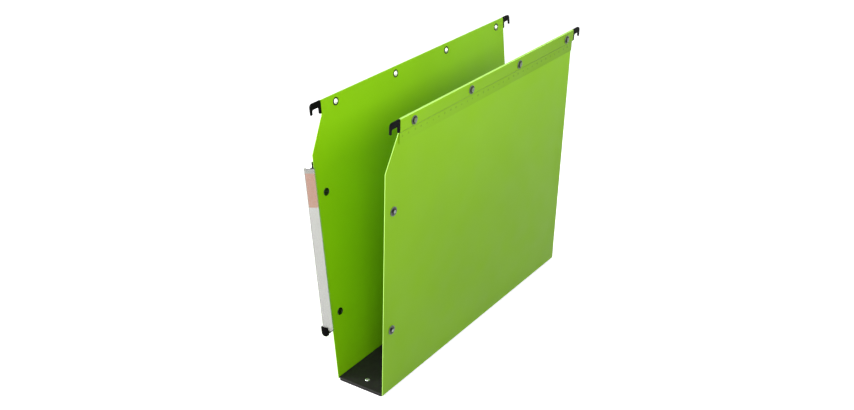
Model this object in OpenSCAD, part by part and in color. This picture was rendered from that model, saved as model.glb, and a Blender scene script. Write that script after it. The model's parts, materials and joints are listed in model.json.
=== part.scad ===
// Hanging file for a cupboard with side rails: two sheets that fold up from a stiff base.
// X runs across the base, Y runs back along the file and Z is up, all in millimetres.
// The origin is the middle of the face that the base stands on.
// A side's own frame has its fold on the Y axis, +Z up the sheet and +X out of the file.

/* [Sheets] */
// Length of the file, from its front edge to its back edge
file_l = 334; // [300:1:360]
// Width over both sheets where they fold up from the base
file_w = 52.8; // [36:0.1:90]
// Height of a sheet, from its fold at the base to its top fold
sheet_h = 274.5; // [240:0.1:300]
// Thickness of the sheets
sheet_t = 0.6; // [0.45:0.05:1]
// Lean of the left sheet from upright, in degrees
left_lean = 4.935; // [0:0.001:8]
// Lean of the right sheet from upright, in degrees
right_lean = 1.949; // [0:0.001:8]
// Height of the slanted cut at the top front corner
corner_h = 33.2; // [15:0.1:50]

/* [Hem] */
// Height of the sleeve that holds the rail, from the top fold to its crease
sleeve_h = 12.2; // [11.7:0.1:18]
// Height of the whole hem, from the top fold to the lower edge of its flap
hem_h = 23; // [20:0.1:32]
// Height over which the flap slants back to the sheet under the sleeve
hem_step_h = 1; // [0.8:0.1:3]
// Outer radius of the top fold
hem_fold_r = 0.9; // [0.6:0.05:1]
// Clearance of the rail in its sleeve
sleeve_clear = 0.05; // [0.02:0.01:0.2]

/* [Base] */
// Thickness of each base plate
plate_t = 1.3; // [0.8:0.05:1.6]
// Corner radius of the base plates
plate_corner_r = 1.5; // [0.5:0.1:4]
// Gap between a fold and the strip of sheet inside the base
fold_gap = 0.2; // [0.1:0.05:0.4]
// Gap between the top plate and the sheets, measured at the folds
top_plate_gap = 0.35; // [0.3:0.05:0.8]
// Distance of the bottom plate's long edges inward from the sheets' outer faces
plate_inset = 1.5; // [1.2:0.1:4]
// Distance of the inner strip's ends from the ends of the base
strip_inset = 2; // [1:0.5:10]
// Number of rivets along the base
rivet_count = 3; // [2:1:5]
// Distance of the end rivets from the ends of the base
rivet_inset = 11.7; // [8:0.1:30]
// Radius of a rivet's shank
rivet_r = 1.5; // [1:0.1:2]
// Radius of a rivet's head
rivet_head_r = 2.4; // [2.2:0.1:3.5]
// Height of a rivet's domed head
rivet_head_h = 0.9; // [0.5:0.1:1.4]
// Thickness of a rivet's tail
rivet_tail_t = 0.45; // [0.3:0.05:0.6]

/* [Rails] */
// Thickness of the steel rail
rail_t = 0.8; // [0.7:0.1:1.6]
// Height of the steel rail
rail_h = 11; // [10:0.1:11]
// Height of the narrow tongue at each end of the rail
tongue_h = 3.4; // [2.5:0.1:3.8]
// Distance of the tongue's lower edge above the notch
tongue_lift = 1.3; // [0.8:0.1:2]

/* [Hooks] */
// Distance of the front notch's middle from the front edge of the file
front_notch_in = 11.8; // [9:0.1:14]
// Width of the notch that sits on a cupboard rail
notch_w = 9.6; // [8:0.1:10.5]
// Distance from the top of a hook down to its notch
notch_drop = 5.9; // [5.5:0.1:7]
// Radius in the notch's upper corners
notch_r = 1.6; // [0.5:0.1:2.2]
// Distance from the top of a hook down to the end of its outer leg
tip_drop = 10.4; // [9:0.1:14]
// Distance from the top of a hook down to the end of its inner leg
root_drop = 12.2; // [11:0.1:15]
// Length of the front hook's inner leg along the file; the sleeve starts behind it
front_root_l = 2.4; // [1.5:0.1:5]
// Length of the front hook's outer leg along the file
front_tip_l = 2.2; // [1.5:0.1:5]
// Length of the back hook's inner leg, behind the back edge of the file
back_root_l = 3; // [1.5:0.1:5]
// Length of the back hook's outer leg along the file
back_tip_l = 1.9; // [1.5:0.1:5]
// Radius of a hook's outer top corner
hook_corner_r = 3.6; // [2:0.1:4]
// Radius of a leg's end, as a share of the leg's length
hook_leg_share = 0.3; // [0.1:0.05:0.45]
// Wall of a hook on each face of the rail's tongue
hook_wall = 0.45; // [0.4:0.05:1]
// Clearance of the rail's tongue in its hook
hook_clear = 0.03; // [0.01:0.01:0.1]

/* [Press studs] */
// Distance of the top press studs below the top fold
snap_drop = 7; // [6.5:0.1:8]
// Distance of the front press studs from the front edge of the file
edge_snap_in = 12.7; // [9:0.1:14]
// Height of the lower front press stud above the fold
edge_snap_low = 67.1; // [60:0.1:90]
// Height of the upper front press stud above the fold
edge_snap_high = 189.6; // [150:0.1:200]
// Radius of a top stud's nose
top_nose_r = 2.5; // [2.2:0.05:2.7]
// Radius of a front stud's nose
edge_nose_r = 1.7; // [1.4:0.05:2]
// Length of a stud's nose, with its dome
nose_l = 2.2; // [2:0.1:2.6]
// Height of that dome
nose_dome_h = 0.7; // [0.4:0.05:0.9]
// Radial clearance of a neighbour's nose in an eyelet or socket
snap_clear = 0.1; // [0.05:0.01:0.2]
// Wall of an eyelet's barrel
eyelet_wall = 0.35; // [0.3:0.05:0.4]
// Radius of an eyelet's flange on the inner face
eyelet_flange_r = 3.85; // [3.5:0.05:4.4]
// Thickness of an eyelet's flange and of its rolled end
eyelet_lip = 0.3; // [0.3:0.05:0.6]
// Flare at both ends of an eyelet's bore
eyelet_flare = 0.25; // [0.1:0.05:0.3]
// Radius of an eyelet's rolled end
eyelet_roll_r = 3.35; // [3.2:0.05:3.5]
// Outer radius of the washers and top studs
snap_r = 4.2; // [4.1:0.1:4.8]
// Thickness of the pressed metal in the washers and studs
snap_metal_t = 0.3; // [0.25:0.05:0.5]
// Height of the rim around a washer or stud
snap_rim_h = 0.8; // [0.7:0.05:1.2]
// Width of that rim
snap_rim_w = 0.5; // [0.4:0.05:0.6]
// Outer radius of the front studs
edge_snap_r = 4.6; // [4:0.1:5.5]
// Radius of a stud cap's post
post_r = 1.1; // [0.8:0.05:1.2]
// Radius of a stud cap's head
cap_r = 3.5; // [3:0.1:4.2]
// Height of a stud cap's domed head
cap_h = 0.8; // [0.5:0.05:1.1]
// Clearance of a post or barrel in the sheet and rail
hole_clear = 0.05; // [0.02:0.01:0.15]

/* [Label holder] */
// Turn of the label from square to the sheet, in degrees
label_turn = 35; // [20:1:50]
// Thickness of the carrier's flange and web
carrier_t = 1.2; // [1:0.05:1.6]
// Height of the carrier's lower end above the fold
carrier_low = 51.4; // [40:0.1:58]
// Length of the carrier's flange up the sheet
flange_h = 171.2; // [150:0.1:190]
// Length of the carrier's web up the sheet
web_h = 166.2; // [140:0.1:170]
// Width of the flange on the sheet
flange_l = 18; // [17:0.1:24]
// Reach of the flange in front of the sheet's edge
flange_lead = 0.6; // [0:0.1:1]
// Radius of the flange's back corners
flange_r = 3; // [1:0.1:5]
// Reach of the web in front of the sheet
web_l = 6.2; // [6:0.1:10]
// Thickness of the label plate
label_plate_t = 1; // [0.8:0.05:1.4]
// Reach of the label plate outward from the web
plate_out = 3.1; // [3:0.1:8]
// Reach of the label plate inward from the web
plate_in = 5.3; // [4:0.1:6]
// Thickness of the label
label_t = 0.25; // [0.15:0.01:0.4]
// Distance of the label's long edges from those of its plate
label_margin = 0.2; // [0.1:0.05:1]
// Distance of the label's top below the top of the cover
label_drop = 0.8; // [0.5:0.1:20]
// Wall of the clear cover
cover_wall = 0.8; // [0.6:0.05:1]
// Rise of the cover's lens from its long edges to its crest
lens_rise = 1.2; // [0.6:0.05:1.6]
// Reach of the cover's lips behind the label plate
cover_lip = 1.5; // [0.8:0.1:1.8]
// Running clearance of the cover and the label on their plate
cover_clear = 0.15; // [0.1:0.01:0.3]
// Distance of the cover's lower end above the carrier's
cover_lift = 4.5; // [3:0.1:8]
// Rise of the cover's top above the top of the web
cover_rise = 1.4; // [0:0.1:4]
// Height of the foot's lip over the cover's lower end, at its outer end
foot_lip_h = 5.6; // [3:0.1:8]
// Drop of the foot's side and back walls below its lip
foot_side_drop = 2; // [0:0.1:3]
// Fall of that lip towards the sheet
foot_lip_fall = 1.6; // [0:0.1:2.5]
// Wall of the foot around the cover
foot_wall = 1.3; // [0.6:0.05:1.5]
// Reach of the foot inward from the web
foot_in = 1.2; // [1:0.1:3]
// Radius of the foot's lower outer corner
foot_r = 3.8; // [1:0.1:4.5]
// Chamfer of the foot's lower inner corner
foot_chamfer = 1.5; // [0.5:0.1:2.5]
// Radius of a socket's head on the inner face
socket_head_r = 3.7; // [3.4:0.1:4.2]
// Thickness of a socket's head
socket_head_t = 0.9; // [0.8:0.05:1.2]
// Radius of a socket's barrel
socket_barrel_r = 2.6; // [2.5:0.05:2.9]
// Radius of a socket's rolled end
socket_roll_r = 3.4; // [3.2:0.05:3.8]
// Thickness of a socket's rolled end
socket_roll_t = 0.5; // [0.4:0.05:0.7]
// Thickness of metal left behind a socket's blind hole
socket_back_t = 0.55; // [0.5:0.05:0.7]
// Radius of the dish in a socket's head
socket_dish_r = 2.4; // [2:0.1:2.8]
// Depth of that dish
socket_dish = 0.25; // [0.1:0.05:0.3]

/* [Hidden] */
$fn = 64;
// Places of the top press studs, as shares of the file's length from its front edge
snap_shares = [0.118, 0.3952, 0.6605, 0.9548];
// One overrun for all cuts
cut = 1;
// Height of each fold's axis over the floor, and its distance from the middle
fold_z = plate_t + sheet_t / 2;
fold_x = file_w / 2 - sheet_t / 2;
base_h = 2 * plate_t + sheet_t;
front_y = -file_l / 2;
back_y = file_l / 2;
// The sleeve starts behind the front hook and ends at the back edge, where the back hook starts
sleeve_y = front_y + front_notch_in + notch_w / 2 + front_root_l;
sleeve_z = sheet_h - sleeve_h;
pocket_t = rail_t + 2 * sleeve_clear;
face_out = sheet_t / 2;
hem_out = face_out + pocket_t + sheet_t;
rail_x = face_out + sleeve_clear;
rail_top = sheet_h - sheet_t - sleeve_clear;
tongue_z = sheet_h - notch_drop + tongue_lift;
hook_t = rail_t + 2 * (hook_clear + hook_wall);
snap_z = sheet_h - snap_drop;
edge_snap_y = front_y + edge_snap_in;
top_bore_r = top_nose_r + snap_clear;
edge_bore_r = edge_nose_r + snap_clear;
barrel_r = top_bore_r + eyelet_wall;
// The label's own frame: +X out along the label, -Y out of its face, on the web's end
web_x = face_out + carrier_t / 2;
web_y = front_y - web_l;
cover_low = carrier_low + cover_lift;
cover_top = carrier_low + web_h + cover_rise;
// The label plate starts on the floor of the foot's pocket
plate_low = cover_low - cover_clear;
slot_front = -label_plate_t - label_t - 2 * cover_clear;
slot_back = cover_clear;
slot_left = plate_out + cover_clear;
slot_right = -plate_in - cover_clear;
cover_front = slot_front - cover_wall;
cover_back = slot_back + cover_wall;
cover_half = (slot_left - slot_right) / 2 + cover_wall;
cover_mid = (slot_left + slot_right) / 2;
lens_r = (pow(cover_half, 2) + pow(lens_rise, 2)) / (2 * lens_rise);

// Puts a side's own frame at the left fold
module on_left() {
    translate([-fold_x, 0, fold_z]) rotate([0, -left_lean, 0]) mirror([1, 0, 0]) children();
}

// Puts a side's own frame at the right fold
module on_right() {
    translate([fold_x, 0, fold_z]) rotate([0, right_lean, 0]) children();
}

// Extrudes an outline drawn along the file and up the sheet, outward from x
module side_plate(x, t) {
    translate([x, 0, 0]) rotate([90, 0, 90]) linear_extrude(t) children();
}

// Extrudes a section drawn outward and up the sheet, along the file
module along_file(from_y, to_y) {
    translate([0, to_y, 0]) rotate([90, 0, 0]) linear_extrude(to_y - from_y) children();
}

// Points a child's Z axis out of the sheet, at a place along and up it
module facing_out(y, z) {
    translate([0, y, z]) rotate([0, 90, 0]) children();
}

module at_top_snaps() {
    for (share = snap_shares) facing_out(front_y + share * file_l, snap_z) children();
}

module at_edge_snaps() {
    for (z = [edge_snap_low, edge_snap_high]) facing_out(edge_snap_y, z) children();
}

module at_label() {
    translate([web_x, web_y, 0]) rotate([0, 0, -label_turn]) children();
}

module rounded_plate(w, l, r, t) {
    linear_extrude(t) rounded_square(w, l, r);
}

module rounded_square(w, l, r) {
    square([w - 2 * r, l], center = true);
    square([w, l - 2 * r], center = true);
    for (x = [-1, 1], y = [-1, 1]) {
        translate([x * (w / 2 - r), y * (l / 2 - r)]) circle(r);
    }
}

// Base

module at_rivets() {
    span = file_l - 2 * rivet_inset;
    for (i = [0 : rivet_count - 1]) {
        translate([0, front_y + rivet_inset + i * span / (rivet_count - 1), 0]) children();
    }
}

module base_bottom_plate() {
    color([0.10, 0.11, 0.09]) difference() {
        rounded_plate(file_w - 2 * plate_inset, file_l, plate_corner_r, plate_t);
        at_rivets() {
            translate([0, 0, -cut]) cylinder(r = rivet_r + hole_clear, h = plate_t + 2 * cut);
            translate([0, 0, -cut]) cylinder(r = rivet_head_r + hole_clear, h = rivet_tail_t + cut);
        }
    }
}

module base_sheet_strip() {
    strip_w = 2 * (fold_x - sheet_t / 2 - fold_gap);
    color([0.45, 0.68, 0.12]) translate([0, 0, plate_t]) difference() {
        rounded_plate(strip_w, file_l - 2 * strip_inset, plate_corner_r, sheet_t);
        at_rivets() translate([0, 0, -cut]) cylinder(r = rivet_r + hole_clear, h = sheet_t + 2 * cut);
    }
}

module base_top_plate() {
    top_w = 2 * (fold_x - sheet_t / 2 - top_plate_gap);
    color([0.13, 0.14, 0.11]) translate([0, 0, plate_t + sheet_t]) difference() {
        rounded_plate(top_w, file_l, plate_corner_r, plate_t);
        at_rivets() translate([0, 0, -cut]) cylinder(r = rivet_r + hole_clear, h = plate_t + 2 * cut);
    }
}

// A low dome: the slice of a ball that has the given rim radius and height
module dome(rim_r, h) {
    ball_r = (rim_r * rim_r + h * h) / (2 * h);
    rotate_extrude() intersection() {
        translate([0, h - ball_r]) circle(ball_r, $fn = 128);
        square([rim_r, h]);
    }
}

module base_rivets() {
    color([0.72, 0.73, 0.74]) at_rivets() {
        translate([0, 0, hole_clear]) cylinder(r = rivet_head_r, h = rivet_tail_t - hole_clear);
        translate([0, 0, hole_clear]) cylinder(r = rivet_r, h = base_h - hole_clear);
        translate([0, 0, base_h]) dome(rivet_head_r, rivet_head_h);
    }
}

// Sheets with their hems

module sheet_outline() {
    polygon([
        [front_y, 0], [back_y, 0], [back_y, sheet_h], [sleeve_y, sheet_h],
        [sleeve_y, sleeve_z], [front_y, sleeve_z - corner_h]
    ]);
}

// The top fold goes over the rail, and the flap comes back to the sheet below it
module hem_section() {
    hem_w = hem_out + sheet_t / 2;
    difference() {
        translate([-sheet_t / 2, sleeve_z]) {
            square([hem_w, sleeve_h - hem_fold_r]);
            translate([hem_fold_r, 0]) square([hem_w - 2 * hem_fold_r, sleeve_h]);
            for (x = [hem_fold_r, hem_w - hem_fold_r]) {
                translate([x, sleeve_h - hem_fold_r]) circle(hem_fold_r);
            }
        }
        translate([face_out, sleeve_z - cut]) square([pocket_t, sleeve_h - sheet_t + cut]);
    }
    polygon([
        [hem_out, sleeve_z], [hem_out - sheet_t, sleeve_z], [face_out, sleeve_z - hem_step_h],
        [face_out, sheet_h - hem_h], [face_out + sheet_t, sheet_h - hem_h],
        [face_out + sheet_t, sleeve_z - hem_step_h]
    ]);
}

module folded_sheet(top_hole_r, edge_hole_r) {
    difference() {
        union() {
            side_plate(-sheet_t / 2, sheet_t) sheet_outline();
            along_file(sleeve_y, back_y) hem_section();
            along_file(front_y, back_y) circle(sheet_t / 2);
        }
        at_top_snaps() translate([0, 0, -hem_out]) cylinder(r = top_hole_r, h = 3 * hem_out);
        at_edge_snaps() translate([0, 0, -hem_out]) cylinder(r = edge_hole_r, h = 3 * hem_out);
    }
}

module left_panel() {
    color([0.49, 0.73, 0.10]) on_left() {
        folded_sheet(barrel_r + hole_clear, socket_barrel_r + hole_clear);
    }
}

module right_panel() {
    color([0.56, 0.78, 0.22]) on_right() {
        folded_sheet(post_r + hole_clear, post_r + hole_clear);
    }
}

// Rails

// The narrow part of the rail, which reaches over both notches
module tongue(clear) {
    from_y = sleeve_y - front_root_l - notch_w;
    to_y = back_y + back_root_l + notch_w;
    translate([rail_x - clear, from_y - clear, tongue_z - clear]) {
        cube([rail_t + 2 * clear, to_y - from_y + 2 * clear, tongue_h + 2 * clear]);
    }
}

module rail(hole_r) {
    color([0.62, 0.64, 0.66]) difference() {
        union() {
            translate([rail_x, sleeve_y + sleeve_clear, rail_top - rail_h]) {
                cube([rail_t, back_y - sleeve_y - 2 * sleeve_clear, rail_h]);
            }
            tongue(0);
        }
        at_top_snaps() translate([0, 0, -hem_out]) cylinder(r = hole_r, h = 3 * hem_out);
    }
}

module left_rail() {
    on_left() rail(barrel_r + hole_clear);
}

module right_rail() {
    on_right() rail(post_r + hole_clear);
}

// Hooks: an outline from the sleeve out to the tip, with the notch cut out of it.
// The outline starts at the root, runs out along +X, and hangs from the top at zero.

module leg(l, drop) {
    r = hook_leg_share * l;
    translate([0, -drop + r]) square([l, drop - r]);
    translate([r, -drop]) square([l - 2 * r, drop]);
    for (x = [r, l - r]) translate([x, -drop + r]) circle(r);
}

module hook_outline(root_l, tip_l) {
    hook_l = root_l + notch_w + tip_l;
    leg(root_l, root_drop);
    difference() {
        union() {
            translate([0, -notch_drop - notch_r]) square([hook_l - hook_corner_r, notch_drop + notch_r]);
            translate([0, -notch_drop - notch_r]) square([hook_l, notch_drop + notch_r - hook_corner_r]);
            translate([hook_l - hook_corner_r, -hook_corner_r]) circle(hook_corner_r);
        }
        translate([root_l, -notch_drop - notch_r - cut]) square([notch_w, notch_r + cut]);
    }
    translate([root_l + notch_w, 0]) difference() {
        leg(tip_l, tip_drop);
        translate([0, -hook_corner_r]) square([tip_l + cut, hook_corner_r + cut]);
    }
    for (x = [root_l, root_l + notch_w]) difference() {
        translate([x - notch_r, -notch_drop - notch_r]) square([2 * notch_r, notch_r]);
        translate([root_l + notch_r, -notch_drop - notch_r]) circle(notch_r);
        translate([root_l + notch_w - notch_r, -notch_drop - notch_r]) circle(notch_r);
    }
}

module hook(at_back) {
    root_y = at_back ? back_y : sleeve_y;
    root_l = at_back ? back_root_l : front_root_l;
    tip_l = at_back ? back_tip_l : front_tip_l;
    color([0.07, 0.07, 0.07]) difference() {
        side_plate(rail_x + rail_t / 2 - hook_t / 2, hook_t) translate([root_y, sheet_h]) {
            mirror([at_back ? 0 : 1, 0]) hook_outline(root_l, tip_l);
        }
        tongue(hook_clear);
    }
}

module left_front_hook() {
    on_left() hook(false);
}

module left_back_hook() {
    on_left() hook(true);
}

module right_front_hook() {
    on_right() hook(false);
}

module right_back_hook() {
    on_right() hook(true);
}

// Press studs: turned outlines, drawn from the axis out and along it

// A disc with a rounded outer edge, from z up
module pressed_disc(r, z, t) {
    translate([0, z]) square([r - t / 2, t]);
    translate([r - t / 2, z + t / 2]) circle(t / 2);
}

// A dish of thin metal with a rolled rim
module dish(r, z) {
    translate([0, z]) square([r - snap_rim_w / 2, snap_metal_t]);
    translate([r - snap_rim_w, z]) square([snap_rim_w, snap_rim_h - snap_rim_w / 2]);
    translate([r - snap_rim_w / 2, z + snap_rim_h - snap_rim_w / 2]) circle(snap_rim_w / 2);
}

// The flare of an eyelet's bore, from the end at z inward: up for side 1, down for side -1
module flare(z, side) {
    polygon([
        [0, z - side * cut], [top_bore_r + eyelet_flare + cut, z - side * cut],
        [top_bore_r, z + side * eyelet_flare], [0, z + side * eyelet_flare]
    ]);
}

module left_eyelets() {
    inner = -face_out - eyelet_lip;
    outer = hem_out + snap_metal_t;
    mouth = outer + eyelet_lip;
    color([0.30, 0.31, 0.32]) on_left() at_top_snaps() rotate_extrude() difference() {
        union() {
            pressed_disc(eyelet_flange_r, inner, eyelet_lip);
            translate([0, inner]) square([barrel_r, mouth - inner]);
            pressed_disc(eyelet_roll_r, outer, eyelet_lip);
        }
        translate([-cut, inner - cut]) square([top_bore_r + cut, mouth - inner + 2 * cut]);
        flare(inner, 1);
        flare(mouth, -1);
    }
}

module left_washers() {
    color([0.50, 0.51, 0.52]) on_left() at_top_snaps() rotate_extrude() difference() {
        dish(snap_r, hem_out);
        translate([-cut, hem_out - cut]) square([barrel_r + hole_clear + cut, snap_rim_h + 2 * cut]);
    }
}

// A stud: a dish with a hollow nose, which a cap's post is pressed into from behind
module stud(r, nose_r, z) {
    straight_l = nose_l - nose_dome_h;
    rotate_extrude() difference() {
        union() {
            dish(r, z);
            translate([0, z]) square([nose_r, straight_l]);
            translate([0, z + straight_l]) intersection() {
                scale([1, nose_dome_h / nose_r]) circle(nose_r);
                square([nose_r, nose_dome_h]);
            }
        }
        translate([-cut, z - cut]) square([post_r + cut, straight_l + cut]);
    }
}

// A cap: a low dome on the inner face, and a post that ends inside the stud's nose
module stud_cap(z) {
    post_l = nose_l - nose_dome_h - hole_clear;
    translate([0, 0, -face_out]) mirror([0, 0, 1]) dome(cap_r, cap_h);
    translate([0, 0, -face_out]) cylinder(r = post_r, h = z + face_out + post_l);
}

module right_studs() {
    color([0.60, 0.62, 0.62]) on_right() at_top_snaps() stud(snap_r, top_nose_r, hem_out);
}

module right_stud_caps() {
    color([0.35, 0.36, 0.37]) on_right() at_top_snaps() stud_cap(hem_out);
}

module edge_studs() {
    color([0.38, 0.39, 0.42]) on_right() at_edge_snaps() stud(edge_snap_r, edge_nose_r, face_out);
}

module edge_stud_caps() {
    color([0.35, 0.36, 0.37]) on_right() at_edge_snaps() stud_cap(face_out);
}

// Label holder

module label_plate() {
    translate([-plate_in, -label_plate_t]) square([plate_in + plate_out, label_plate_t]);
}

// The web seen along the sheet: it starts inside the flange and ends inside the label plate
module web_section() {
    web_lap = carrier_t / 2 * tan(label_turn) + label_plate_t / 10;
    translate([face_out, web_y - web_lap]) square([carrier_t, web_l + web_lap + carrier_t]);
}

module flange_outline() {
    translate([front_y, carrier_low]) {
        translate([-flange_lead, 0]) square([flange_lead + flange_l - flange_r, flange_h]);
        translate([0, flange_r]) square([flange_l, flange_h - 2 * flange_r]);
        for (z = [flange_r, flange_h - flange_r]) {
            translate([flange_l - flange_r, z]) circle(flange_r);
        }
    }
}

module label_carrier() {
    color([0.09, 0.09, 0.09]) on_left() difference() {
        union() {
            side_plate(face_out, carrier_t) flange_outline();
            translate([0, 0, carrier_low]) linear_extrude(web_h) web_section();
            at_label() translate([0, 0, plate_low]) {
                linear_extrude(carrier_low + web_h - plate_low) label_plate();
            }
        }
        at_edge_snaps() {
            cylinder(r = socket_barrel_r + hole_clear, h = face_out + carrier_t + cut);
        }
    }
}

// The cover's outline seen along the sheet, grown on every side but the back of its lens
module cover_outline(grow) {
    front = cover_front;
    translate([cover_mid - cover_half - grow, front]) {
        square([2 * (cover_half + grow), cover_back + grow - front]);
    }
    translate([cover_mid, front]) intersection() {
        translate([0, lens_r - lens_rise]) circle(lens_r + grow, $fn = 128);
        translate([-cover_half - grow, -lens_rise - grow]) {
            square([2 * (cover_half + grow), lens_rise + grow]);
        }
    }
}

module label_cover() {
    color([0.84, 0.86, 0.86, 0.6]) on_left() at_label() translate([0, 0, cover_low]) {
        linear_extrude(cover_top - cover_low) difference() {
            cover_outline(0);
            translate([slot_right, slot_front]) square([slot_left - slot_right, slot_back - slot_front]);
            translate([slot_right + cover_lip, 0]) {
                square([slot_left - slot_right - 2 * cover_lip, cover_back + cut]);
            }
        }
    }
}

module label_insert() {
    label_w = plate_in + plate_out - 2 * label_margin;
    color([0.90, 0.86, 0.84]) on_left() at_label() {
        translate([-plate_in + label_margin, -label_plate_t - cover_clear / 2 - label_t, cover_low]) {
            cube([label_w, label_t, cover_top - label_drop - cover_low]);
        }
    }
}

// The foot seen along the label: level below, rounded outside, its lip falling to the sheet
module foot_outline() {
    low = carrier_low;
    lip = cover_low + foot_lip_h;
    out = cover_mid + cover_half + cover_clear + foot_wall;
    translate([out - foot_r, low + foot_r]) circle(foot_r);
    polygon([
        [foot_chamfer - foot_in, low], [out - foot_r, low], [out - foot_r, low + foot_r],
        [out, low + foot_r], [out, lip], [-foot_in, lip - foot_lip_fall], [-foot_in, low + foot_chamfer]
    ]);
}

// The foot is pushed onto the web's lower end, and the cover's lower end stands in its pocket
module label_foot() {
    deep = cover_back + cover_clear + foot_wall;
    color([0.07, 0.07, 0.07]) on_left() difference() {
        at_label() intersection() {
            translate([0, 0, carrier_low - cut]) linear_extrude(web_h) difference() {
                cover_outline(cover_clear + foot_wall);
                translate([carrier_t - web_h, 0]) square([web_h, deep + cut]);
            }
            translate([0, deep + cut, 0]) rotate([90, 0, 0]) linear_extrude(web_h) foot_outline();
        }
        at_label() translate([0, 0, plate_low]) linear_extrude(web_h) cover_outline(cover_clear);
        at_label() translate([-web_h / 2, cover_front, cover_low + foot_lip_h - foot_side_drop]) cube(web_h);
        translate([0, 0, carrier_low - cut]) linear_extrude(web_h) web_section();
    }
}

// A socket: a dished head inside the file, and a blind hole that opens outward
module carrier_sockets() {
    inner = -face_out - socket_head_t;
    outer = face_out + carrier_t;
    mouth = outer + socket_roll_t;
    color([0.06, 0.07, 0.06]) on_left() at_edge_snaps() rotate_extrude() difference() {
        union() {
            pressed_disc(socket_head_r, inner, socket_head_t);
            translate([0, inner]) square([socket_barrel_r, mouth - inner]);
            pressed_disc(socket_roll_r, outer, socket_roll_t);
        }
        translate([-cut, inner + socket_back_t]) square([edge_bore_r + cut, mouth - inner]);
        translate([-cut, inner - cut]) square([socket_dish_r + cut, socket_dish + cut]);
    }
}

base_bottom_plate();
base_sheet_strip();
base_top_plate();
base_rivets();
left_panel();
right_panel();
left_rail();
right_rail();
left_front_hook();
left_back_hook();
right_front_hook();
right_back_hook();
left_eyelets();
left_washers();
right_studs();
right_stud_caps();
edge_studs();
edge_stud_caps();
label_carrier();
label_foot();
carrier_sockets();
label_cover();
label_insert();
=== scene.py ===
import json
from math import cos, pi, radians, sin, sqrt

import bmesh
import bpy
from mathutils import Matrix, Vector

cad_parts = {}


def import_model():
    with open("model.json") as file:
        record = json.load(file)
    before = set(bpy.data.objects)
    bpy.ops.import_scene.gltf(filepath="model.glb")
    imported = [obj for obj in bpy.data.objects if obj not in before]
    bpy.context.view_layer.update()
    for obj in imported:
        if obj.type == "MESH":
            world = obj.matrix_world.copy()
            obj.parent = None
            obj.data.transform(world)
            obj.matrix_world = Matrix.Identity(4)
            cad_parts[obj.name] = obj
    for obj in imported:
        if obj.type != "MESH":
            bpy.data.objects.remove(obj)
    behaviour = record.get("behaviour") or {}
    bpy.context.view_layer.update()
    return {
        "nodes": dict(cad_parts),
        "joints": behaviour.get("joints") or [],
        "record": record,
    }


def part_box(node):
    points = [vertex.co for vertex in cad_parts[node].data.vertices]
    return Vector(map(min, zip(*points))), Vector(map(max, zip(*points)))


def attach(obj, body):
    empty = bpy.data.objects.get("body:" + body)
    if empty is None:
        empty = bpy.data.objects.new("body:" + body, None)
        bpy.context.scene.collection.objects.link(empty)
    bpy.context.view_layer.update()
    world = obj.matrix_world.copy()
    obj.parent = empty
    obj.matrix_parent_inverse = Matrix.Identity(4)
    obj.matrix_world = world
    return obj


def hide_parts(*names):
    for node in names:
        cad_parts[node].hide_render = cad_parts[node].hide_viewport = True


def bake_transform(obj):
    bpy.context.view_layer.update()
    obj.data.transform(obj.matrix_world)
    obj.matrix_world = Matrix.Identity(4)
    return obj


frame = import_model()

# Looks of the hanging file. Sizes are millimetres, turned to metres by MM where a point is made.
MM = 0.001
NODES = frame["nodes"]
JOINTS = {joint["name"]: joint for joint in frame["joints"]}
MOUNTS = {mount["name"]: mount for mount in frame["record"]["mounts"]}

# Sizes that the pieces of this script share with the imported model
SHEET_H = 274.5
SHEET_T = 0.6
FACE_OUT = SHEET_T / 2
HEM_OUT = 1.8
SLEEVE_H = 12.2
HEM_H = 23
BASE_H = 3.2
WEB_X = 0.9
WEB_REACH = 6.2
LABEL_TURN = 35
LABEL_FRONT = -1.0
LABEL_IN = 5.3
LABEL_OUT = 3.1
COVER_LOW = 55.9
COVER_TOP = 219
LABEL_TOP = 218.2
BLOCK_LOW = 181.8
BLOCK_TOP = 214.6
PAPER_T = 0.25


# Places

def side_frame(fold, mount):
    """A side's own frame: its origin is on the fold, X points out of the file, Y back, Z up the sheet."""
    out = Vector(MOUNTS[mount]["axis"])
    along = Vector((0, 1, 0))
    up = out.cross(along)
    if up.z < 0:
        up.negate()
    turn = Matrix((out, along, up)).transposed().to_4x4()
    return Matrix.Translation(JOINTS[fold]["pos_m"]) @ turn


SIDES = {
    "left": side_frame("left_fold", "left_eyelet_1"),
    "right": side_frame("right_fold", "right_stud_1"),
}
FRONT_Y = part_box("left_panel")[0].y / MM
BACK_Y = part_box("left_panel")[1].y / MM
SLEEVE_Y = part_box("left_front_hook")[1].y / MM
LABEL = (
    SIDES["left"]
    @ Matrix.Translation((WEB_X * MM, (FRONT_Y - WEB_REACH) * MM, 0))
    @ Matrix.Rotation(radians(-LABEL_TURN), 4, "Z")
)


def facing_out(side, mount):
    """Where a turned piece sits on a sheet: on a mount's axis, with zero in the middle of the sheet."""
    spot = SIDES[side].inverted() @ Vector(MOUNTS[mount]["pos_m"])
    return SIDES[side] @ Matrix.Translation((0, spot.y, spot.z)) @ Matrix.Rotation(pi / 2, 4, "Y")


# Materials

def display(red, green, blue):
    """A colour as a screen shows it, 0 to 255, as the linear colour that a shader takes."""
    shares = [value / 255 for value in (red, green, blue)]
    return [s / 12.92 if s <= 0.04045 else ((s + 0.055) / 1.055) ** 2.4 for s in shares] + [1]


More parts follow.
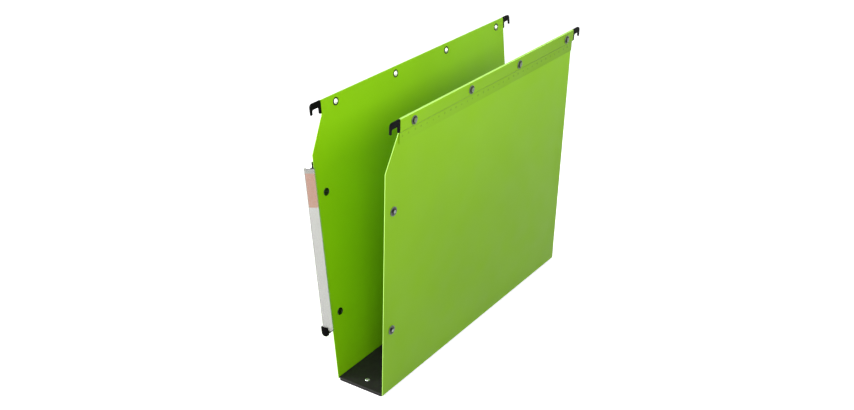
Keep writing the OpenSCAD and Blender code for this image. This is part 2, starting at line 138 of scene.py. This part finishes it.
class Shader:
    """One material with helpers for its nodes. Patterns follow the object's own coordinates."""

    def __init__(self, name):
        self.material = bpy.data.materials.new(name)
        self.material.use_nodes = True
        self.nodes = self.material.node_tree.nodes
        self.links = self.material.node_tree.links
        self.surface = self.nodes["Principled BSDF"]
        self.output = self.nodes["Material Output"]
        self.place = self.nodes.new("ShaderNodeTexCoord").outputs["Object"]

    def set(self, **values):
        for key, value in values.items():
            self.surface.inputs[key.replace("_", " ")].default_value = value

    def noise(self, size_mm, detail=2, stretch=(1, 1, 1)):
        """Noise with features of about that size, longer along the axes that stretch names."""
        mapping = self.nodes.new("ShaderNodeMapping")
        mapping.inputs["Scale"].default_value = [1 / part for part in stretch]
        texture = self.nodes.new("ShaderNodeTexNoise")
        texture.inputs["Scale"].default_value = 1 / (size_mm * MM)
        texture.inputs["Detail"].default_value = detail
        self.links.new(self.place, mapping.inputs["Vector"])
        self.links.new(mapping.outputs["Vector"], texture.inputs["Vector"])
        return texture.outputs["Fac"]

    def span(self, value, low, high, start=0.3, stop=0.7):
        """A pattern's value from start to stop, as low to high."""
        ranged = self.nodes.new("ShaderNodeMapRange")
        for key, number in (("From Min", start), ("From Max", stop), ("To Min", low), ("To Max", high)):
            ranged.inputs[key].default_value = number
        self.links.new(value, ranged.inputs["Value"])
        return ranged.outputs["Result"]

    def mix(self, share, first, second):
        """A colour between two colours or colour sockets."""
        mixed = self.nodes.new("ShaderNodeMix")
        mixed.data_type = "RGBA"
        sockets = [s for s in mixed.inputs if s.type == "RGBA"]
        self.links.new(share, mixed.inputs["Factor"])
        for socket, colour in zip(sockets, (first, second)):
            if isinstance(colour, bpy.types.NodeSocket):
                self.links.new(colour, socket)
            else:
                socket.default_value = colour
        return next(s for s in mixed.outputs if s.type == "RGBA")

    def along(self, axis, start, stop):
        """Zero to one along one of the object's own axes."""
        parts = self.nodes.new("ShaderNodeSeparateXYZ")
        self.links.new(self.place, parts.inputs["Vector"])
        return self.span(parts.outputs[axis], 0, 1, start, stop)

    def colour(self, socket):
        self.links.new(socket, self.surface.inputs["Base Color"])

    def rough(self, value, low, high):
        self.links.new(self.span(value, low, high), self.surface.inputs["Roughness"])

    def bump(self, value, depth_mm, strength=1.0, under=None):
        bump = self.nodes.new("ShaderNodeBump")
        bump.inputs["Strength"].default_value = strength
        bump.inputs["Distance"].default_value = depth_mm * MM
        self.links.new(value, bump.inputs["Height"])
        if under:
            self.links.new(under, bump.inputs["Normal"])
        self.links.new(bump.outputs["Normal"], self.surface.inputs["Normal"])
        return bump.outputs["Normal"]


def shade(colour, share):
    """A colour made darker or lighter by a share."""
    return [part * share for part in colour[:3]] + [1]


def highest(nodes, links, shares, least=0.0):
    """The highest of some shares that nodes give, and no less than the last value."""
    result = None
    for share in shares:
        either = nodes.new("ShaderNodeMath")
        either.operation = "MAXIMUM"
        either.inputs[1].default_value = least
        links.new(share, either.inputs[0])
        if result:
            links.new(result, either.inputs[1])
        result = either.outputs["Value"]
    return result


def sheet_plastic(name, colour, specular, tone, back=1.0):
    """Satin polypropylene: a fine sand grain over slow waves, with a slight drift in tone. Where back is
    below one, painted shade darkens it towards the back, down to that share.
    """
    shader = Shader(name)
    shader.set(Specular_IOR_Level=specular)
    drift = shader.span(shader.noise(90), 0, 1)
    base = shader.mix(drift, shade(colour, 1 - tone), shade(colour, 1 + tone))
    # Painted shade: the colour darkens from the front towards the back.
    if back != 1:
        back_shaded = shader.mix(drift, shade(colour, back - tone), shade(colour, back + tone))
        along = shader.along("Y", FRONT_Y * MM, BACK_Y * MM)
        base = shader.mix(along, base, back_shaded)
    shader.colour(base)
    shader.rough(shader.noise(25), 0.42, 0.5)
    waves = shader.bump(shader.noise(60, 1), 0.6, 0.35)
    shader.bump(shader.noise(0.35), 0.012, 0.5, waves)
    return shader.material


def moulded_plastic(name, colour, specular, grain_mm, low, high):
    """Black moulded plastic: a fine eroded grain, uneven gloss and paler dust in its grain."""
    shader = Shader(name)
    shader.set(Specular_IOR_Level=specular)
    speck = shader.span(shader.noise(grain_mm * 3, 4), 0, 1, 0.45, 0.75)
    shader.colour(shader.mix(speck, colour, shade(colour, 1.5)))
    shader.rough(shader.noise(6), low, high)
    shader.bump(shader.noise(grain_mm, 3), 0.02, 0.5)
    return shader.material


def pressed_metal(name, colour, low, high, spin_mm=0.4):
    """Plated metal, with clouds in its gloss and fine marks from the press."""
    shader = Shader(name)
    shader.set(Metallic=1.0)
    cloud = shader.noise(1.6, 3)
    shader.colour(shader.mix(shader.span(cloud, 0, 1), shade(colour, 0.75), shade(colour, 1.15)))
    shader.rough(cloud, low, high)
    shader.bump(shader.noise(spin_mm, 2, (1, 6, 1)), 0.01, 0.4)
    return shader.material


def zinc_plate(name):
    """The rails' steel: dull zinc with marks drawn along the strip."""
    shader = Shader(name)
    shader.set(Metallic=1.0)
    drawn = shader.noise(0.5, 3, (1, 40, 1))
    shader.colour(shader.mix(shader.span(drawn, 0, 1), display(150, 152, 154), display(186, 188, 190)))
    shader.rough(drawn, 0.3, 0.5)
    shader.bump(drawn, 0.01, 0.5)
    return shader.material


def clear_plastic(name, colour, low, high, clear=1.0, bare=0.0):
    """The cover: clear plastic with a faint haze. Light passes straight through to the label inside.
    The bare share of it is seen through without bending."""
    shader = Shader(name)
    shader.set(Base_Color=colour, Transmission_Weight=clear, IOR=1.45)
    shader.rough(shader.noise(18), low, high)
    shader.bump(shader.noise(30, 1, (1, 1, 3)), 0.05, 0.2)
    through = shader.nodes.new("ShaderNodeBsdfTransparent")
    path = shader.nodes.new("ShaderNodeLightPath")
    either = shader.nodes.new("ShaderNodeMixShader")
    rays = [path.outputs[ray] for ray in ("Is Shadow Ray", "Is Diffuse Ray")]
    shader.links.new(highest(shader.nodes, shader.links, rays, bare), either.inputs["Fac"])
    shader.links.new(shader.surface.outputs["BSDF"], either.inputs[1])
    shader.links.new(through.outputs["BSDF"], either.inputs[2])
    shader.links.new(either.outputs["Shader"], shader.output.inputs["Surface"])
    return shader.material


def label_paper(name, band_low, band_top):
    """The label: pale paper with fibres, one plain tinted block, and a painted shadow of the cover's top
    edge on the margin above the block.
    """
    shader = Shader(name)
    shader.set(Specular_IOR_Level=0.3, Roughness=0.8)
    fibre = shader.span(shader.noise(0.5, 4, (1, 1, 3)), 0, 1)
    paper = shader.mix(fibre, display(213, 207, 208), display(223, 217, 218))
    tint = shader.mix(fibre, display(202, 145, 126), display(210, 156, 137))
    # Painted shadow: the paper above the block is greyer.
    edge = 0.2 * MM
    margin = shader.along("Z", band_top - edge, band_top + edge)
    paper = shader.mix(margin, paper, display(178, 173, 170))
    above = shader.along("Z", band_low - edge, band_low + edge)
    below = shader.along("Z", band_top + edge, band_top - edge)
    inside = shader.nodes.new("ShaderNodeMath")
    inside.operation = "MULTIPLY"
    shader.links.new(above, inside.inputs[0])
    shader.links.new(below, inside.inputs[1])
    shader.colour(shader.mix(inside.outputs["Value"], paper, tint))
    shader.bump(fibre, 0.02, 0.3)
    return shader.material


GREEN = [0.272, 0.568, 0.003, 1]
SHEET = sheet_plastic("sheet_green", GREEN, 0.2, 0.03)
# Painted shade: the outside of the hem darkens towards the back.
HEM_BACK_SHADE = sheet_plastic("sheet_hem_painted_shade", GREEN, 0.2, 0.02, 0.72)
# Cut edges paler than the faces: partly the sheet's own whitened edge, partly painted light piped through
# it. On the top fold it is a painted highlight.
PALE_EDGE_AND_HIGHLIGHT = sheet_plastic("sheet_pale_edge_and_painted_highlight", [0.5, 0.86, 0.16, 1], 0.2, 0.04)
# Painted shade in the hem's crease and at the flap's front end, darker still towards the back.
CREASE_SHADE = sheet_plastic("sheet_crease_painted_shade", shade(GREEN, 0.5), 0.2, 0.03, 0.4)
# Weld spots a little darker than the sheet, with painted shade that darkens them towards the back.
WELD = sheet_plastic("sheet_weld_and_painted_shade", shade(GREEN, 0.78), 0.2, 0.05, 0.62)
BASE_BLACK = moulded_plastic("base_black", display(26, 23, 25), 0.28, 0.25, 0.45, 0.6)
HOOK_BLACK = moulded_plastic("hook_black", display(8, 8, 8), 0.04, 0.12, 0.5, 0.62)
CARRIER_BLACK = moulded_plastic("carrier_black", display(6, 6, 6), 0.03, 0.15, 0.5, 0.62)
SOCKET_BLACK = pressed_metal("socket_black", display(62, 66, 62), 0.15, 0.35)
# Painted reflection: the eyelets' bore is bright where the white room would show in it.
BORE_REFLECTION = pressed_metal("bore_painted_reflection", display(198, 210, 186), 0.3, 0.5)
NICKEL = pressed_metal("stud_nickel", display(120, 127, 116), 0.3, 0.5)
# Dark nickel on the caps; in the edge studs' dish it is painted shade.
DARK_NICKEL_AND_SHADE = pressed_metal("dark_nickel_and_painted_shade", display(60, 60, 64), 0.2, 0.4)
# Olive nickel: in the top studs' dish it is partly patina and partly painted shade. On the sockets it is
# the middle ring's tone.
STUD_NICKEL = pressed_metal("stud_dish", display(72, 78, 66), 0.3, 0.5)
# Painted highlight on the edge studs' nose.
NOSE_HIGHLIGHT = pressed_metal("nose_painted_highlight", display(146, 150, 150), 0.2, 0.4)
BLACK_NICKEL = pressed_metal("black_nickel", display(20, 24, 16), 0.25, 0.42)
RIVET_METAL = pressed_metal("rivet_aluminium", display(205, 206, 208), 0.25, 0.45)
ZINC = zinc_plate("rail_zinc")
CLEAR = clear_plastic("cover_clear", display(244, 247, 245), 0.04, 0.1)
CLEAR_EDGE = clear_plastic("cover_edge", display(214, 212, 208), 0.08, 0.16, 0.45)
# Painted light: the cover's inner wall and lip are tinted green from the sheet behind.
CLEAR_SIDE_GREEN = clear_plastic("cover_side_painted_green", display(178, 196, 150), 0.08, 0.16, 0.6, 0.8)


# Mesh helpers

def piece(name, bm, body, materials, replaces=(), smooth_deg=35):
    """A finished mesh as an object that rides on a body."""
    bmesh.ops.recalc_face_normals(bm, faces=bm.faces)
    for face in bm.faces:
        face.smooth = True
    for edge in bm.edges:
        edge.smooth = len(edge.link_faces) == 2 and edge.calc_face_angle(0) < radians(smooth_deg)
    mesh = bpy.data.meshes.new(name)
    bm.to_mesh(mesh)
    bm.free()
    for material in materials:
        mesh.materials.append(material)
    made = bpy.data.objects.new(name, mesh)
    bpy.context.scene.collection.objects.link(made)
    if body:
        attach(made, body)
    if replaces:
        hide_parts(*replaces)
    return made


def soften(made, width_mm, segments=2, angle_deg=40):
    """Rounds the sharp edges, with the flat faces kept flat in the shading."""
    bevel = made.modifiers.new("soft_edges", "BEVEL")
    bevel.width = width_mm * MM
    bevel.segments = segments
    bevel.limit_method = "ANGLE"
    bevel.angle_limit = radians(angle_deg)
    bevel.harden_normals = True


def cad_copy(node):
    """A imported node's mesh as a clean one: its points joined and its flat faces whole."""
    bm = bmesh.new()
    bm.from_mesh(NODES[node].data)
    bmesh.ops.remove_doubles(bm, verts=bm.verts, dist=0.002 * MM)
    bmesh.ops.dissolve_limit(bm, angle_limit=radians(0.4), verts=bm.verts, edges=bm.edges)
    return bm


def arc(centre_r, centre_z, radius, start_deg, stop_deg, steps=6):
    """Points of an arc in a turned outline, as (radius, height)."""
    turns = [radians(start_deg + (stop_deg - start_deg) * i / steps) for i in range(steps + 1)]
    return [(centre_r + radius * cos(turn), centre_z + radius * sin(turn)) for turn in turns]


def lathe(bm, outline, place, closed=False, steps=56, splits=()):
    """Turns an outline of (radius, height) points, in millimetres, about the place's Z axis.
    Faces within the first split radius take the second material, and so on inward."""
    rings = []
    for radius, height in outline:
        count = steps if radius > 0 else 1
        turns = [2 * pi * i / steps for i in range(count)]
        points = [Vector((radius * cos(turn), radius * sin(turn), height)) * MM for turn in turns]
        rings.append([bm.verts.new(place @ point) for point in points])
    ends = [point[0] for point in outline]
    pairs = list(zip(rings, rings[1:], ends, ends[1:]))
    if closed:
        pairs.append((rings[-1], rings[0], ends[-1], ends[0]))
    for low, high, low_r, high_r in pairs:
        look = sum(max(low_r, high_r) < radius for radius in splits)
        for i in range(steps):
            corners = []
            pair_low = (low[i % len(low)], low[(i + 1) % len(low)])
            pair_high = (high[(i + 1) % len(high)], high[i % len(high)])
            for corner in pair_low + pair_high:
                if corner not in corners:
                    corners.append(corner)
            if len(corners) > 2:
                bm.faces.new(corners).material_index = look


def turned(name, outline, places, body, materials, replaces, closed=False, splits=()):
    """One piece for a group of like turned solids."""
    bm = bmesh.new()
    for place in places:
        lathe(bm, outline, place, closed, splits=splits)
    return piece(name, bm, body, materials, replaces)


# Sheets

def dress_sheet(side):
    """The folded sheet with softened edges. Its cut edges are paler than its faces, partly their own
    whitened colour and partly painted light, and its top fold is paler as a painted highlight. The
    outside of its hem takes painted shade that darkens towards the back, and the hem's crease and the
    flap's front end take painted shade."""
    bm = cad_copy(side + "_panel")
    to_side = SIDES[side].inverted()
    for face in bm.faces:
        normal = to_side.to_3x3() @ face.normal
        middle = to_side @ face.calc_center_median() / MM
        on_hem = middle.x > FACE_OUT + 0.1
        # Painted shade: the hem's crease and the flap's front end.
        if on_hem and normal.y < -0.5 or on_hem and normal.z < -0.3 and middle.z > SHEET_H - HEM_H + 1:
            face.material_index = 3
        # Pale cut edges, partly painted light, and the top fold as a painted highlight.
        elif abs(normal.x) < 0.3 or (abs(normal.x) < 0.85 and middle.z > SHEET_H - 1):
            face.material_index = 1
        # The hem's outside, with painted shade towards the back.
        elif normal.x > 0 and on_hem:
            face.material_index = 2
    looks = [SHEET, PALE_EDGE_AND_HIGHLIGHT, HEM_BACK_SHADE, CREASE_SHADE]
    sheet = piece(side + "_sheet", bm, side + "_side", looks, [side + "_panel"])
    soften(sheet, 0.12)


def weld_row(side):
    """The row of faint weld spots that close the sleeve, along the middle of the flap."""
    pitch = 9.4
    below_step = 4.8
    height = SHEET_H - SLEEVE_H - below_step
    count = int((BACK_Y - SLEEVE_Y) / pitch)
    bm = bmesh.new()
    for i in range(count):
        wobble = sin(7.3 * i)
        radius = 1.0 + 0.2 * wobble
        spot = [(0, 0.03), (0.6 * radius, 0.03), (0.85 * radius, 0.07)]
        spot += [(radius, 0.03), (1.1 * radius, -0.1)]
        y = SLEEVE_Y + pitch * (i + 0.5) + 0.5 * sin(4.1 * i)
        place = Matrix.Translation(Vector((FACE_OUT + SHEET_T, y, height + 0.3 * wobble)) * MM)
        lathe(bm, spot, SIDES[side] @ place @ Matrix.Rotation(pi / 2, 4, "Y"), steps=16)
    # The spots' material darkens towards the back as painted shade.
    piece(side + "_weld_spots", bm, side + "_side", [WELD])


def fold_strip(side):
    """The thin crease that joins a sheet to the strip inside the base, with a slight sag across it."""
    fold = Vector(JOINTS[side + "_fold"]["pos_m"])
    outward = 1 if fold.x > 0 else -1
    strip_end = abs(fold.x) - (SHEET_T / 2 + 0.2) * MM
    thick = 0.3 * MM
    bm = bmesh.new()
    steps = 8
    lap = 0.25 * MM
    short = 2.5
    start_x = strip_end - lap
    end_x = abs(fold.x)
    front = (FRONT_Y + short) * MM
    back = (BACK_Y - short) * MM
    section = ((front, -thick / 2), (back, -thick / 2), (back, thick / 2), (front, thick / 2))
    rings = []
    for i in range(steps + 1):
        x = start_x + (end_x - start_x) * i / steps
        dip = thick / 4 * sin(pi * i / steps)
        rings.append([bm.verts.new((outward * x, y, fold.z + z - dip)) for y, z in section])
    for low, high in zip(rings, rings[1:]):
        for i in range(4):
            bm.faces.new((low[i], low[(i + 1) % 4], high[(i + 1) % 4], high[i]))
    bm.faces.new(rings[0])
    bm.faces.new(rings[-1])
    strip = piece(side + "_fold_crease", bm, None, [SHEET])
    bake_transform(strip)


# Press studs

SNAP_R = 4.2
METAL_T = 0.3
RIM_H = 0.8
RIM_R = 0.25
NOSE_L = 2.2
DOME_H = 0.7
TOP_NOSE_R = 2.5
EDGE_NOSE_R = 1.7
TOP_BORE_R = 2.6
EDGE_BORE_R = 1.8
BARREL_R = 2.95
LIP = 0.3
POST_R = 1.1


def dish_outline(radius, floor, inner):
    """A pressed dish with a rolled rim, from its inner edge out over the rim and round to its back."""
    lip = radius - RIM_R
    foot = radius - 2 * RIM_R
    top = floor + METAL_T
    return (
        [(inner, top), (foot - 0.3, top), (foot - 0.1, top + 0.03), (foot, top + 0.13)]
        + arc(lip, floor + RIM_H - RIM_R, RIM_R, 180, 0, 8)
        + arc(radius - 0.15, floor + 0.15, 0.15, 0, -90, 3)
        + [(inner, floor)]
    )


def stud_outline(radius, nose_r, floor):
    """A stud: a dish with a domed nose on a flared neck, closed at its back."""
    shoulder = floor + NOSE_L - DOME_H
    dome = [(nose_r * sin(radians(a)), shoulder + DOME_H * cos(radians(a))) for a in range(0, 91, 10)]
    neck = arc(nose_r + 0.25, floor + METAL_T + 0.25, 0.25, 180, 270, 4)
    return [(0, dome[0][1])] + dome[1:] + neck + dish_outline(radius, floor, nose_r + 0.3) + [(0, floor)]


def cap_outline(end):
    """A cap: a low dome on the inner face, and a post that ends inside a stud."""
    low_dome = [(3.4 * sin(radians(a)), -FACE_OUT - 0.8 * cos(radians(a))) for a in range(10, 81, 10)]
    return (
        [(0, -FACE_OUT - 0.8)] + low_dome
        + [(3.5, -FACE_OUT - 0.08), (3.5, -FACE_OUT), (POST_R, -FACE_OUT), (POST_R, end), (0, end)]
    )


def eyelet_outline():
    """An eyelet: a flange on the inner face, a barrel, a rolled end outside, and a flared bore."""
    inner = -FACE_OUT
    outer = HEM_OUT + METAL_T
    return (
        arc(TOP_BORE_R + 0.25, inner - LIP + 0.25, 0.25, 180, 270, 4)
        + arc(3.85 - 0.15, inner - 0.15, 0.15, -90, 90, 6)
        + [(BARREL_R, inner), (BARREL_R, outer)]
        + arc(3.35 - 0.15, outer + 0.15, 0.15, -90, 90, 6)
        + arc(TOP_BORE_R + 0.25, outer + LIP - 0.25, 0.25, 90, 180, 4)
    )


def socket_outline():
    """A socket: a dished and ringed head on the inner face, and a blind hole that opens outward."""
    head = -FACE_OUT - 0.9
    mouth = FACE_OUT + 1.2 + 0.5
    return (
        [(0, head + 0.12), (0.55, head + 0.12), (0.8, head + 0.25), (1.5, head + 0.25)]
        + [(1.75, head + 0.12), (1.95, head + 0.12), (2.2, head + 0.25), (2.35, head + 0.25)]
        + arc(2.75, head + 0.35, 0.35, 190, 270, 4)
        + arc(3.7 - 0.4, head + 0.45, 0.4, -90, 90, 8)
        + [(2.6, -FACE_OUT), (2.6, FACE_OUT + 1.2)]
        + arc(3.4 - 0.25, mouth - 0.25, 0.25, -90, 90, 5)
        + arc(EDGE_BORE_R + 0.3, mouth - 0.3, 0.3, 90, 180, 4)
        + [(EDGE_BORE_R, head + 0.6), (0, head + 0.6)]
    )


def press_studs():
    eyelets = [facing_out("left", f"left_eyelet_{i}") for i in range(1, 5)]
    studs = [facing_out("right", f"right_stud_{i}") for i in range(1, 5)]
    edge_studs = [facing_out("right", f"edge_stud_{i}") for i in (1, 2)]
    sockets = [facing_out("left", f"left_socket_{i}") for i in (1, 2)]
    washer = dish_outline(SNAP_R, HEM_OUT, BARREL_R + 0.05)
    top_stud = stud_outline(SNAP_R, TOP_NOSE_R, HEM_OUT)
    edge_stud = stud_outline(4.6, EDGE_NOSE_R, FACE_OUT)
    post_l = NOSE_L - DOME_H - 0.05
    # The bore within the split is painted bright as a reflection.
    turned("eyelets_turned", eyelet_outline(), eyelets, "left_side",
           [BLACK_NICKEL, BORE_REFLECTION], ["left_eyelets"], closed=True, splits=(TOP_BORE_R + 0.02,))
    turned("washers_turned", washer, eyelets, "left_side", [NICKEL], ["left_washers"],
           closed=True)
    # The dish between the splits is darker, partly patina and partly painted shade.
    turned("studs_turned", top_stud, studs, "right_side", [NICKEL, STUD_NICKEL, NICKEL],
           ["right_studs"], splits=(3.75, 2.3))
    # Painted shade in the dish between the splits and a painted highlight on the nose.
    turned("edge_studs_turned", edge_stud, edge_studs, "right_side",
           [NICKEL, DARK_NICKEL_AND_SHADE, NOSE_HIGHLIGHT], ["edge_studs"], splits=(3.9, 1.6))
    turned("stud_caps_turned", cap_outline(HEM_OUT + post_l), studs, "right_side",
           [DARK_NICKEL_AND_SHADE], ["right_stud_caps"])
    turned("edge_caps_turned", cap_outline(FACE_OUT + post_l), edge_studs, "right_side",
           [DARK_NICKEL_AND_SHADE], ["edge_stud_caps"])
    turned("sockets_turned", socket_outline(), sockets, "left_side",
           [SOCKET_BLACK, STUD_NICKEL, SOCKET_BLACK], ["carrier_sockets"], splits=(2.0, 0.9))


# Base

def rivets():
    """Domed rivets with a brim and a small centre mark."""
    outline = (
        [(0, BASE_H + 0.78), (0.25, BASE_H + 0.8), (0.45, BASE_H + 0.88)]
        + [(2.1 * sin(radians(a)), BASE_H + 0.15 + 0.75 * cos(radians(a))) for a in range(20, 90, 10)]
        + [(2.15, BASE_H + 0.12)] + arc(2.34, BASE_H + 0.06, 0.06, 90, -90, 4)
        + [(1.5, BASE_H), (1.5, 0.45), (2.4, 0.45), (2.4, 0.1), (2.3, 0.05), (0, 0.05)]
    )
    low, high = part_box("base_rivets")
    head = (high.x - low.x) / 2
    first = low.y + head
    last = high.y - head
    places = [Matrix.Translation((0, first + (last - first) * i / 2, 0)) for i in range(3)]
    turned("rivets_turned", outline, places, "base", [RIVET_METAL], ["base_rivets"])


# Label holder

def extrude_outline(bm, outline, low, high, place):
    """A closed outline in millimetres, carried up a frame from one height to another."""
    rings = [[bm.verts.new(place @ (Vector((x, y, z)) * MM)) for x, y in outline] for z in (low, high)]
    count = len(outline)
    for i in range(count):
        bm.faces.new((rings[0][i], rings[0][(i + 1) % count], rings[1][(i + 1) % count], rings[1][i]))
    for ring in rings:
        bm.faces.new(ring)


def label_cover():
    """The clear cover: a bowed front, side walls, and lips that run behind the label plate. Its inner
    wall and lip let the green sheet show through, and are also tinted green as painted light from the
    sheet."""
    clear = 0.15
    wall = 0.8
    rise = 1.2
    lip = 1.5
    left = LABEL_OUT + clear
    right = -LABEL_IN - clear
    front = LABEL_FRONT - PAPER_T - 2 * clear
    back = clear
    half = (left - right) / 2 + wall
    mid = (left + right) / 2
    lens_r = (half * half + rise * rise) / (2 * rise)
    steps = 24
    lens = []
    for i in range(steps + 1):
        x = -half + 2 * half * i / steps
        lens.append((mid + x, front - wall + lens_r - rise - sqrt(lens_r * lens_r - x * x)))
    outline = lens + [
        (left + wall, back + wall), (left - lip, back + wall), (left - lip, back), (left, back),
        (left, front), (right, front), (right, back), (right + lip, back),
        (right + lip, back + wall), (right - wall, back + wall),
    ]
    bm = bmesh.new()
    extrude_outline(bm, outline, COVER_LOW, COVER_TOP, LABEL)
    to_label = LABEL.inverted()
    for face in bm.faces:
        middle = to_label @ face.calc_center_median() / MM
        # Inner wall and lip: tinted green as painted light from the sheet.
        if middle.x < right or (middle.y > 0 and middle.x < mid):
            face.material_index = 2
        elif middle.x > left or middle.y > 0:
            face.material_index = 1
    looks = [CLEAR, CLEAR_EDGE, CLEAR_SIDE_GREEN]
    cover = piece("cover_lens", bm, "cover", looks, ["label_cover"])
    soften(cover, 0.15, 2, 50)


def label_card():
    """The paper label with rounded corners."""
    margin = 0.2
    radius = 0.8
    low = COVER_LOW
    high = LABEL_TOP
    lens_gap = 0.075
    front = LABEL_FRONT - lens_gap - PAPER_T
    left = -LABEL_IN + margin
    right = LABEL_OUT - margin
    corners = ((right - radius, high - radius, 0), (left + radius, high - radius, 90),
               (left + radius, low + radius, 180), (right - radius, low + radius, 270))
    rim = []
    for x, z, start in corners:
        rim += arc(x, z, radius, start, start + 90)
    bm = bmesh.new()
    rings = []
    for y in (front, front + PAPER_T):
        rings.append([bm.verts.new(LABEL @ (Vector((x, y, z)) * MM)) for x, z in rim])
    count = len(rim)
    for i in range(count):
        bm.faces.new((rings[0][i], rings[0][(i + 1) % count], rings[1][(i + 1) % count], rings[1][i]))
    for ring in rings:
        bm.faces.new(ring)
    band = [(LABEL @ (Vector((0, front, height)) * MM)).z for height in (BLOCK_LOW, BLOCK_TOP)]
    paper = label_paper("label_paper", *band)
    card = piece("label_card", bm, "label", [paper], ["label_insert"])
    soften(card, 0.03, 1, 50)


def dress(node, material, width_mm=0.0):
    """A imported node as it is, in its finish, with its edges softened."""
    made = NODES[node]
    made.data.materials.clear()
    made.data.materials.append(material)
    if width_mm:
        weld = made.modifiers.new("joined_points", "WELD")
        weld.merge_threshold = 0.002 * MM
        planar = made.modifiers.new("whole_faces", "DECIMATE")
        planar.decimate_type = "DISSOLVE"
        planar.angle_limit = radians(0.4)
        soften(made, width_mm)


def dress_nodes():
    for node in ("base_bottom_plate", "base_top_plate"):
        dress(node, BASE_BLACK, 0.15)
    dress("base_sheet_strip", SHEET)
    for side in ("left", "right"):
        dress(side + "_rail", ZINC, 0.1)
        for end in ("front", "back"):
            dress(f"{side}_{end}_hook", HOOK_BLACK, 0.2)
    dress("label_carrier", CARRIER_BLACK, 0.12)
    dress("label_foot", CARRIER_BLACK)


# Studio, in metres and watts

CAMERA_PLACE = (0.55308, -0.87007, 0.61893)
CAMERA_TARGET = (0.00018, -0.05367, 0.1487)
LENS_MM = 47.44
SENSOR_MM = 36
SKY_STRENGTH = 0.57
FLOOR_HALF = 6


def aim(made, target):
    made.rotation_euler = (Vector(target) - made.location).to_track_quat("-Z", "Y").to_euler()


def camera():
    data = bpy.data.cameras.new("camera")
    data.lens = LENS_MM
    data.sensor_width = SENSOR_MM
    data.clip_end = 50
    made = bpy.data.objects.new("camera", data)
    made.location = CAMERA_PLACE
    bpy.context.scene.collection.objects.link(made)
    aim(made, CAMERA_TARGET)
    bpy.context.scene.camera = made


def softbox(name, place, target, width, height, watts):
    data = bpy.data.lights.new(name, "AREA")
    data.shape = "RECTANGLE"
    data.size = width
    data.size_y = height
    data.energy = watts
    made = bpy.data.objects.new(name, data)
    made.location = place
    bpy.context.scene.collection.objects.link(made)
    aim(made, target)


def seen_white(nodes, links, lit, shown, out):
    """Joins two shaders: one for what the floor or sky does to the object, one for how it looks."""
    path = nodes.new("ShaderNodeLightPath")
    rays = [path.outputs[ray] for ray in ("Is Camera Ray", "Is Glossy Ray", "Is Transmission Ray")]
    mixed = nodes.new("ShaderNodeMixShader")
    links.new(highest(nodes, links, rays), mixed.inputs["Fac"])
    links.new(lit, mixed.inputs[1])
    links.new(shown, mixed.inputs[2])
    links.new(mixed.outputs["Shader"], out)


def world():
    sky = bpy.data.worlds.new("studio")
    bpy.context.scene.world = sky
    sky.use_nodes = True
    nodes = sky.node_tree.nodes
    links = sky.node_tree.links
    lit = nodes["Background"]
    lit.inputs["Color"].default_value = (0.96, 0.98, 1, 1)
    lit.inputs["Strength"].default_value = SKY_STRENGTH
    shown = nodes.new("ShaderNodeBackground")
    shown.inputs["Color"].default_value = (1, 1, 1, 1)
    seen_white(nodes, links, lit.outputs["Background"], shown.outputs["Background"],
               nodes["World Output"].inputs["Surface"])


def floor():
    """A pale floor. It looks white, keeps the object's shadow, and throws only a little light back up."""
    bm = bmesh.new()
    drop = 0.2 * MM
    half = FLOOR_HALF
    corners = ((-half, -half), (half, -half), (half, half), (-half, half))
    bm.faces.new([bm.verts.new((x, y, -drop)) for x, y in corners])
    mesh = bpy.data.meshes.new("floor")
    bm.to_mesh(mesh)
    bm.free()
    made = bpy.data.objects.new("floor", mesh)
    bpy.context.scene.collection.objects.link(made)
    material = bpy.data.materials.new("floor_white")
    material.use_nodes = True
    nodes = material.node_tree.nodes
    links = material.node_tree.links
    nodes.remove(nodes["Principled BSDF"])
    grey = nodes.new("ShaderNodeBsdfDiffuse")
    grey.inputs["Color"].default_value = (0.12, 0.12, 0.12, 1)
    white = nodes.new("ShaderNodeBsdfDiffuse")
    white.inputs["Color"].default_value = (0.9, 0.9, 0.9, 1)
    glow = nodes.new("ShaderNodeEmission")
    glow.inputs["Strength"].default_value = 0.6
    both = nodes.new("ShaderNodeAddShader")
    links.new(white.outputs["BSDF"], both.inputs[0])
    links.new(glow.outputs["Emission"], both.inputs[1])
    surface = nodes["Material Output"].inputs["Surface"]
    seen_white(nodes, links, grey.outputs["BSDF"], both.outputs["Shader"], surface)
    mesh.materials.append(material)


def studio():
    """A long key lamp beside the right side's top, and softer lamps round the front, left and top."""
    camera()
    world()
    floor()
    softbox("key", (0.24, -0.05, 0.385), (0.03, -0.05, 0.26), 1, 0.1, 0.9)
    softbox("right", (0.7, -1, 0.5), (0, 0, 0.12), 0.5, 0.5, 3)
    softbox("front", (-0.5, -1, 0.4), (0, 0, 0.1), 0.5, 0.5, 2.8)
    softbox("left", (-1.1, -0.75, 0.35), (0, -0.15, 0.12), 0.4, 0.4, 26)
    softbox("top", (0, -0.3, 1), (0, 0, 0.15), 0.5, 0.5, 1)
    bpy.context.scene.view_settings.view_transform = "Standard"


studio()
for side in SIDES:
    dress_sheet(side)
    weld_row(side)
    fold_strip(side)
press_studs()
rivets()
label_cover()
label_card()
dress_nodes()
